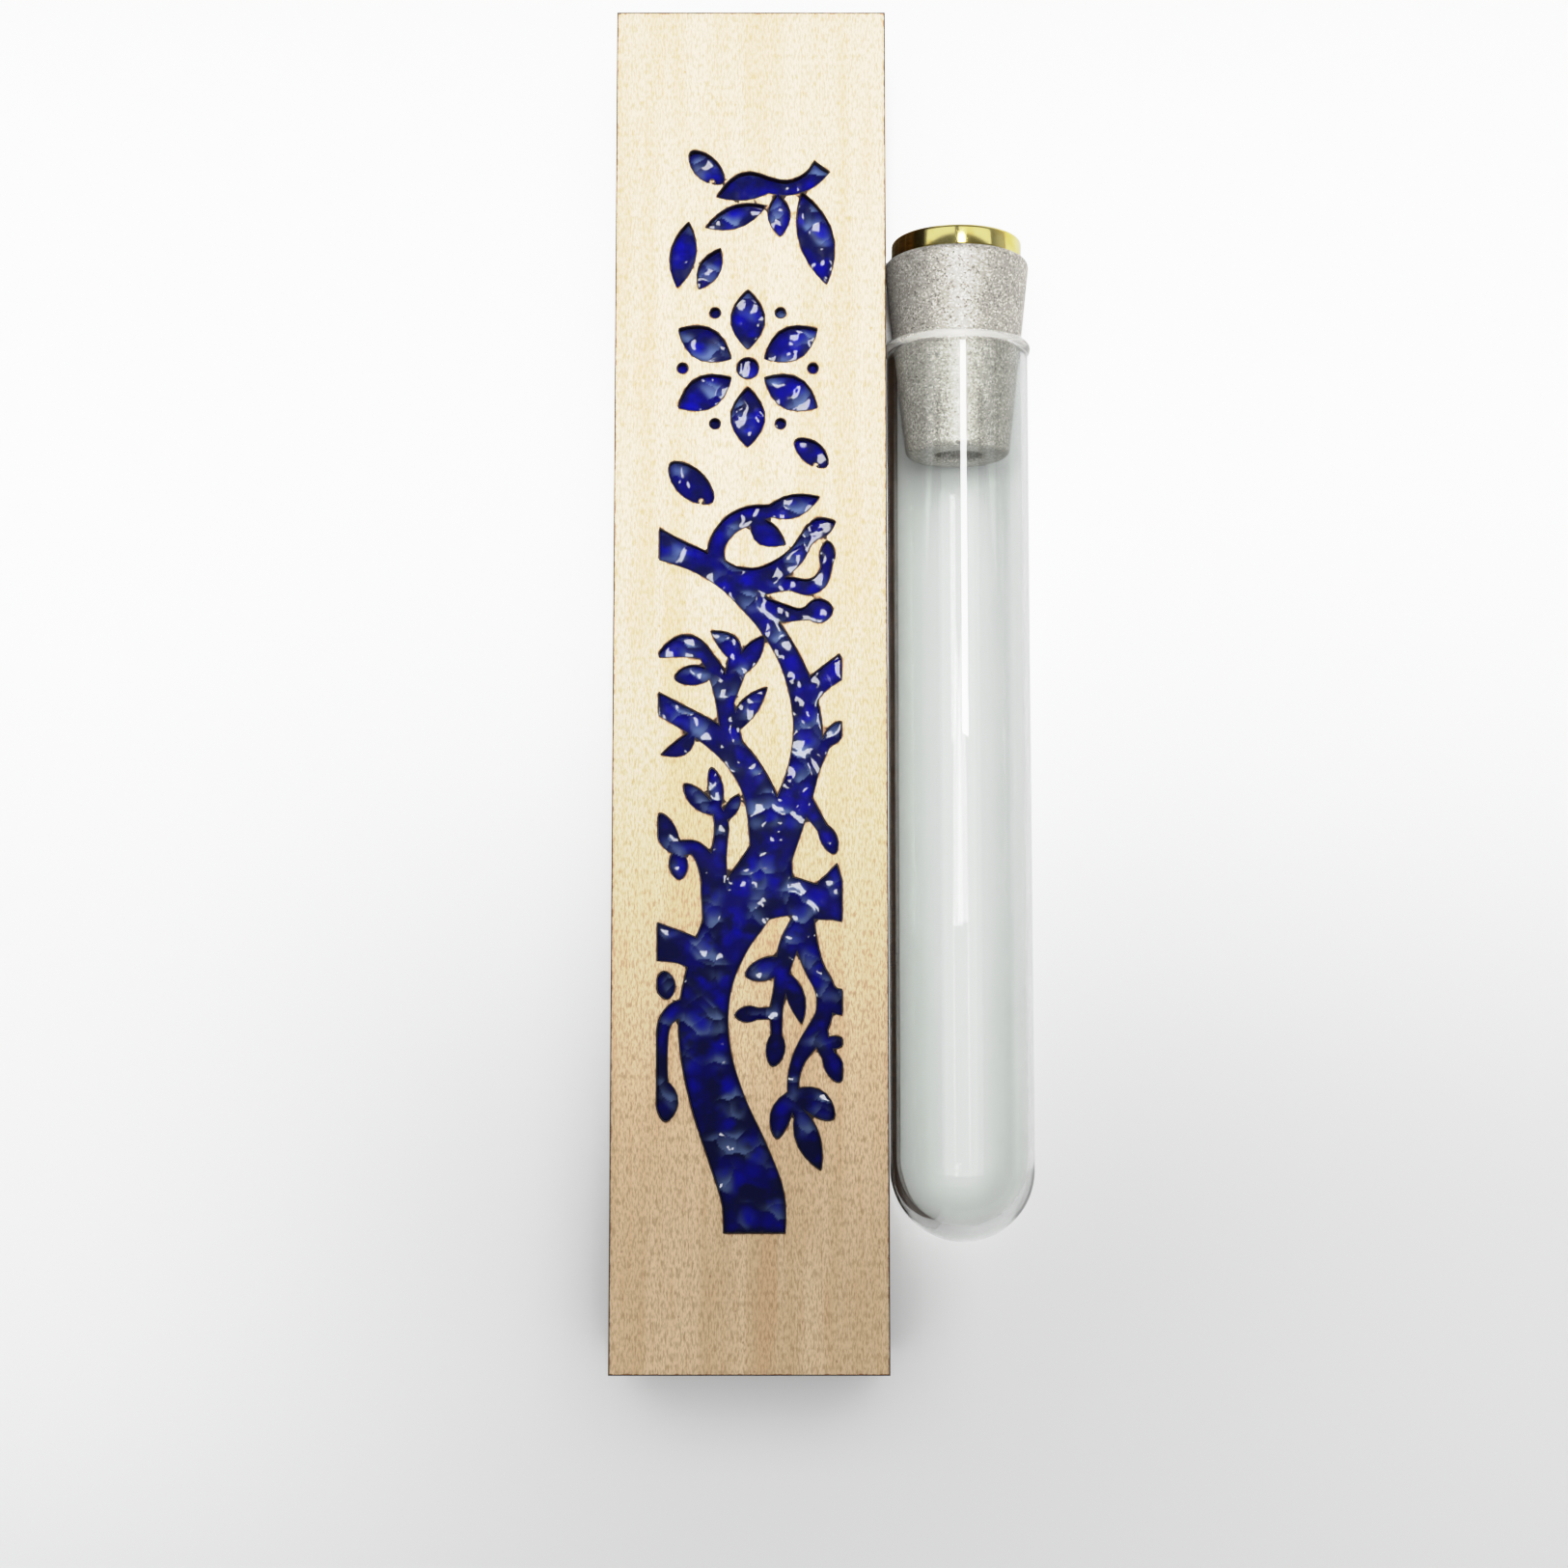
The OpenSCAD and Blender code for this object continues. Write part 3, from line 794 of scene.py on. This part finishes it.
        # Grains melt into the resin and pools into each other softly: the larger a join's number,
        # the sharper the line between them
        grains = math.exp(self.grain_join * self.resin_mm)
        pools = 0.0
        for gap, centre in zip(gaps, centres):
            lot = noise.cell_vector(centre * 9.1)
            fall = 0.5 * (0.35 + 0.4 * lot.x) * (gap * self.grain_mm) ** 2
            grains += math.exp(self.grain_join * (0.13 * lot.y - 0.1 - fall))
            pools += math.exp(-self.pool_join * (0.03 * lot.z + 0.25 * fall))
        grain_up = math.log(grains) / self.grain_join
        pool_up = -math.log(pools) / self.pool_join
        share = 0.5 + 0.5 * math.tanh(7.0 * (noise.noise(flat / 3.3) - 0.08))
        height = grain_up + share * (pool_up - 0.1 - grain_up) + 0.02 * noise.noise(flat / 4.0)

        # Fine wrinkles, only here and there
        crest = noise.noise(flat / 1.1) / 0.2
        elsewhere = flat / 1.7 + Vector((7.0, 3.0, 0.0))
        patchy = 0.5 + 0.5 * math.tanh(9.0 * (noise.noise(elsewhere) - 0.25))
        height += self.wrinkle_mm * patchy * math.exp(-crest * crest)

        # Thick in the middle of a grain; a painted reflection of the sky on one side of a pool;
        # painted shade beside the wood
        core = max(0.0, 1.0 - gaps[0] / 0.62)
        lean = 0.5 + 0.5 * max(-1.0, min(1.0, (centres[0].y - at.y) / 0.45))
        # Painted reflection of the sky on one side of each pool
        sky_reflection = share * lean * min(1.0, gaps[0] / 0.5)
        # Painted shade: darker within 0.7 mm of the wood
        painted_wall_shade = 0.25 + 0.75 * min(1.0, wall_mm / 0.7)
        core_and_painted_shade = painted_wall_shade * min(1.0, 0.25 + 0.9 * core)
        return height - self.sunk_mm, core_and_painted_shade, min(1.0, 1.1 * painted_wall_shade * sky_reflection**1.6)


@dataclass
class CaseStack:
    """The plywood layers behind the front, and the parchment in their chamber."""

    ply: LaserCutPly = LaserCutPly("birch_plywood_laser_cut")
    skin: Parchment = Parchment("calfskin_parchment")
    edge_mm: float = 0.1

    def build(self) -> None:
        """Dresses every layer and the scroll."""
        frames = sorted(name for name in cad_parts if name.startswith("chamber_frame"))
        for layer in ["backing_board", *frames, "slide_track", "back_lip"]:
            dress(layer, self.ply, self.edge_mm)
        dress("parchment_scroll", self.skin, 0.05)


@dataclass
class WallPlate:
    """The plate that is screwed to the doorpost."""

    ply: LaserCutPly = LaserCutPly("birch_plywood_laser_cut")
    edge_mm: float = 0.08

    def build(self) -> None:
        """Dresses both halves of the plate."""
        for half in ("plate_tongue", "plate_foot"):
            dress(half, self.ply, self.edge_mm)


# ---------------------------------------------------------------- the tube


@dataclass
class KeepsakeTube:
    """The glass tube, its stopper and the gilt cap."""

    glass: BorosilicateGlass = BorosilicateGlass("borosilicate_glass_flame_polished")
    paint: SparklePaint = SparklePaint("silver_sparkle_paint_on_cork")
    gilt: PolishedGilt = PolishedGilt("brass_gilt_polished")
    wall_mm: float = 0.7
    end_wall_mm: float = 1.4
    rim_mm: float = 1.2
    rim_proud_mm: float = 0.35
    lip_mm: float = 0.3
    play_mm: float = 0.05
    stopper_edge_mm: float = 0.7
    hole_r_mm: float = 2.7
    hole_deep_mm: float = 3.0
    skin_r_mm: float = 5.5
    cap_band_mm: float = 2.4
    cap_edge_mm: float = 0.45
    segments: int = 160
    pits: int = 22
    seed: int = 11
    # Worn spots on the side that lies up: degrees from the top, millimetres from the outer end,
    # radius and depth in millimetres
    worn: tuple[tuple[float, float, float, float], ...] = (
        (-22.0, 6.6, 0.5, 0.35),
        (-17.0, 7.6, 0.4, 0.3),
        (-24.0, 12.6, 0.4, 0.28),
        (-27.0, 17.8, 0.45, 0.3),
        (-31.0, 19.2, 0.5, 0.25),
        (8.0, 11.4, 0.35, 0.2),
        (16.0, 11.3, 0.3, 0.2),
    )

    def __post_init__(self) -> None:
        """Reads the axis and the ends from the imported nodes."""
        low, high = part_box("glass_tube")
        self.axis = Axis((low.x + high.x) / 2, (low.z + high.z) / 2)
        self.end_y, self.rim_y = low.y, high.y
        self.rim_r = (high.x - low.x) / 2
        self.tube_r = self.rim_r - self.rim_proud_mm * MM

    def build(self) -> None:
        """Makes the three pieces."""
        self.tube()
        self.stopper()
        self.cap()

    def tube(self) -> None:
        """Spins the tube: outside, rolled rim, bore and round bottom in one closed wall."""
        bore = self.tube_r - self.wall_mm * MM
        half_rim = self.rim_mm * MM / 2
        rim_y = self.rim_y - half_rim
        ball_y = self.end_y + self.tube_r
        inner_ball_y = self.end_y + self.end_wall_mm * MM + bore
        lip = self.lip_mm * MM
        # Rings close to each curve keep its shading off the long straight walls
        hold = 0.4 * MM
        profile = (
            arc((0.0, ball_y), self.tube_r, -90, 0, 28)
            + [(self.tube_r, y) for y in (ball_y + hold, rim_y - half_rim - hold, rim_y - half_rim)]
            + arc((self.rim_r - half_rim, rim_y), half_rim, -45, 90, 12)
            + arc((bore + lip, self.rim_y - lip), lip, 90, 180, 5)
            + [(bore, y) for y in (self.rim_y - lip - hold, inner_ball_y + hold)]
            + arc((0.0, inner_ball_y), bore, 0, -90, 26)
        )
        shape = self.axis.turned(profile, self.segments)
        melted = shape.verts.layers.float.new("melted")
        for vert in shape.verts:
            radius = math.hypot(vert.co.x - self.axis.x, vert.co.z - self.axis.z)
            stands_proud = radius > self.tube_r + 0.05 * MM
            on_bead = stands_proud and vert.co.y < self.rim_y - 0.2 * MM
            vert[melted] = 1.0 if on_bead else 0.0
        piece = finished(
            shape, "test_tube", self.glass, Body.TUBE, ("glass_tube",), 60.0
        )
        # A renderer's shadow of clear glass is far darker than a real one
        piece.visible_shadow = False

    def stopper(self) -> None:
        """Spins the stopper, then roughens it and pits it."""
        low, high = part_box("stopper")
        top_r = (high.x - low.x) / 2
        neck_r = self.tube_r - (self.wall_mm + self.play_mm) * MM
        slope = (top_r - neck_r) / (high.y - self.rim_y)
        foot_r = top_r - slope * (high.y - low.y)
        edge = self.stopper_edge_mm * MM
        hole_r = self.hole_r_mm * MM
        hole_y = low.y + self.hole_deep_mm * MM
        profile = (
            [(0.0, hole_y), (hole_r - 0.3 * MM, hole_y), (hole_r, hole_y - 0.3 * MM)]
            + [(hole_r, low.y + 0.3 * MM), (hole_r + 0.3 * MM, low.y)]
            + arc((foot_r - edge, low.y + edge), edge, -90, -8, 6)
            + arc((top_r - edge, high.y - edge), edge, -8, 90, 6)
            + [(0.0, high.y)]
        )
        shape = self.axis.turned(profile, 220, 0.22 * MM)
        self.roughen(shape, low.y, high.y)
        finished(
            shape, "painted_stopper", self.paint, Body.STOPPER, ("stopper",), 60.0
        )

    def roughen(self, shape: bmesh.types.BMesh, low_y: float, high_y: float) -> None:
        """Sinks the stopper's skin inwards in grain and pits.

        Args:
            shape: The spun stopper.
            low_y: Y of its inner end.
            high_y: Y of its outer end.
        """
        draw = random.Random(self.seed)
        pits = []
        for _ in range(self.pits):
            turn = draw.uniform(0, math.tau)
            along = draw.uniform(low_y + 1 * MM, high_y - 1 * MM)
            pits.append((turn, along, draw.uniform(0.2, 0.45) * MM, draw.uniform(0.1, 0.25) * MM))
        for degrees, along, size, depth in self.worn:
            turn = math.radians(90.0 - degrees) % math.tau
            pits.append((turn, high_y - along * MM, size * MM, depth * MM))
        for vert in shape.verts:
            out = self.axis.outward(vert.co)
            grain = noise.fractal(vert.co / (0.6 * MM), 0.8, 2.0, 3)
            sink = 0.02 * MM + 0.02 * MM * min(1.0, max(-1.0, grain))
            turn = math.atan2(out.z, out.x) % math.tau
            radius = Vector((vert.co.x - self.axis.x, vert.co.z - self.axis.z)).length
            if radius < self.skin_r_mm * MM:
                continue
            for pit_turn, along, size, depth in pits:
                off = abs(turn - pit_turn)
                reach = math.hypot(min(off, math.tau - off) * radius, vert.co.y - along)
                if reach < size:
                    sink += depth * (0.5 + 0.5 * math.cos(math.pi * reach / size))
            vert.co -= out * sink

    def cap(self) -> None:
        """Spins the gilt cap: a rounded band under a shallow dome."""
        low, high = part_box("gold_cap")
        radius = (high.x - low.x) / 2
        edge = self.cap_edge_mm * MM
        band_y = low.y + self.cap_band_mm * MM
        dome_h = high.y - band_y
        inner = radius - edge
        ball = (inner**2 + dome_h**2) / (2 * dome_h)
        start = math.degrees(math.asin((ball - dome_h) / ball))
        foot = 0.25 * MM
        profile = (
            [(0.0, low.y)]
            + arc((radius - foot, low.y + foot), foot, -90, 0, 5)
            + arc((inner, band_y - edge), edge, 0, 80, 10)
            + arc((0.0, high.y - ball), ball, start, 90, 24)
        )
        shape = self.axis.turned(profile, self.segments)
        finished(shape, "gilt_cap", self.gilt, Body.STOPPER, ("gold_cap",), 50.0)


# ---------------------------------------------------------------- the studio


class Reach(Enum):
    """What a lamp lights: a soft bank fills, a bare window only mirrors itself in gloss."""

    FILL = "fill"
    MIRROR = "mirror"


@dataclass(frozen=True)
class Lamp:
    """A rectangular soft light that faces straight down.

    Attributes:
        name: Name of the light.
        at: Its place, in metres.
        size: Its sides, in metres.
        power: Its power, in watts.
        spread_deg: Angle of its beam; 180 has no grid.
        reach: Whether it fills or is only mirrored.
    """

    name: str
    at: tuple[float, float, float]
    size: tuple[float, float]
    power: float
    spread_deg: float = 180.0
    reach: Reach = Reach.FILL

    def hang(self) -> None:
        """Adds the light to the scene."""
        lamp = bpy.data.lights.new(self.name, "AREA")
        lamp.shape = "RECTANGLE"
        lamp.size, lamp.size_y = self.size
        lamp.energy = self.power
        lamp.spread = math.radians(self.spread_deg)
        holder = bpy.data.objects.new(self.name, lamp)
        bpy.context.scene.collection.objects.link(holder)
        holder.location = self.at
        holder.visible_camera = False
        holder.visible_diffuse = self.reach is Reach.FILL
        holder.visible_glossy = self.reach is Reach.MIRROR


@dataclass
class Studio:
    """Pale card, soft light that is strongest at the case's top end, and the camera above."""

    paper: MattPaper = MattPaper("uncoated_white_card")
    camera_mm: tuple[float, float, float] = (3.7, -35.6, 273.0)
    camera_tilt_deg: float = 5.3
    lens_mm: float = 54.3
    floor_m: float = 4.0
    zenith: float = 0.15
    horizon: float = 0.6
    air: str = "#F6F7F9"
    lamps: tuple[Lamp, ...] = (
        Lamp("ceiling_bank", (0.0, 0.2, 1.6), (2.0, 2.0), 27.0),
        Lamp("top_end_bank", (0.02, 0.05, 0.36), (0.5, 0.13), 0.42, 18.2),
        Lamp("left_bank", (-0.09, -0.05, 0.3), (0.08, 0.08), 0.023, 22.6),
        Lamp("right_bank", (0.1, -0.05, 0.3), (0.08, 0.08), 0.006, 22.6),
        Lamp("window", (0.12, 0.218, 1.0), (0.16, 0.224), 3.1, reach=Reach.MIRROR),
        Lamp("wall_left", (-0.79, 0.56, 1.0), (1.42, 0.42), 1.9, reach=Reach.MIRROR),
        Lamp("wall_right", (0.875, 0.56, 1.0), (1.65, 0.42), 2.3, reach=Reach.MIRROR),
    )
    # Film response: scene light against shown light, with a long shoulder so that whites hold
    film: tuple[tuple[float, float], ...] = (
        (0.0, 0.0),
        (0.5, 0.5),
        (0.75, 0.7),
        (1.1, 0.81),
        (1.6, 0.896),
        (2.2, 0.955),
        (3.0, 0.995),
    )

    def build(self) -> None:
        """Sets the floor, the lights, the film and the camera."""
        self.floor()
        for lamp in self.lamps:
            lamp.hang()
        self.room()
        self.expose()
        self.camera()

    def floor(self) -> None:
        """Lays a square of card just under the object."""
        shape = bmesh.new()
        bmesh.ops.create_grid(shape, x_segments=1, y_segments=1, size=self.floor_m / 2)
        bmesh.ops.translate(shape, verts=shape.verts, vec=(0.0, 0.0, -0.02 * MM))
        mesh = bpy.data.meshes.new("card")
        shape.to_mesh(mesh)
        shape.free()
        mesh.materials.append(self.paper.material())
        card = bpy.data.objects.new("card", mesh)
        bpy.context.scene.collection.objects.link(card)

    def room(self) -> None:
        """Fills the room with light that is bright at the horizon and dim overhead."""
        world = bpy.data.worlds.new("room")
        world.use_nodes = True
        tree = world.node_tree
        direction = add(tree, "ShaderNodeTexCoord").outputs["Generated"]
        height = add(tree, "ShaderNodeSeparateXYZ", inputs={0: direction}).outputs["Z"]
        ends = {0: height, 1: 0.05, 2: 0.6, 3: self.horizon, 4: self.zenith}
        strength = add(tree, *RAMP, inputs=ends).outputs[0]
        tree.links.new(strength, tree.nodes["Background"].inputs["Strength"])
        tree.nodes["Background"].inputs["Color"].default_value = linear(self.air)
        bpy.context.scene.world = world

    def expose(self) -> None:
        """Gives the picture the film's response."""
        view = bpy.context.scene.view_settings
        view.view_transform = "Standard"
        view.use_curve_mapping = True
        white = self.film[-1][0]
        view.curve_mapping.white_level = (white, white, white)
        response = view.curve_mapping.curves[3]
        response.points[0].location = (self.film[0][0] / white, self.film[0][1])
        response.points[1].location = (1.0, self.film[-1][1])
        for scene_light, shown in self.film[1:-1]:
            response.points.new(scene_light / white, shown)
        view.curve_mapping.update()

    def camera(self) -> None:
        """Hangs the camera over the case, tilted a little towards its top end."""
        lens = bpy.data.cameras.new("camera")
        lens.lens = self.lens_mm
        lens.sensor_width = 36.0
        lens.clip_start = 0.01
        holder = bpy.data.objects.new("camera", lens)
        bpy.context.scene.collection.objects.link(holder)
        holder.location = Vector(self.camera_mm) * MM
        holder.rotation_euler = (math.radians(self.camera_tilt_deg), 0.0, 0.0)
        bpy.context.scene.camera = holder


def main() -> None:
    """Builds the object and the studio in order."""
    logging.basicConfig(level=logging.INFO, format="%(name)s: %(message)s")
    steps: list[tuple[str, Callable[[], None]]] = [
        ("studio", Studio().build),
        ("carved front", CarvedFront().build),
        ("stack", CaseStack().build),
        ("wall plate", WallPlate().build),
        ("tube", KeepsakeTube().build),
    ]
    for name, build in steps:
        build()
        LOG.info("%s: done", name)


if __name__ == "__main__":
    main()
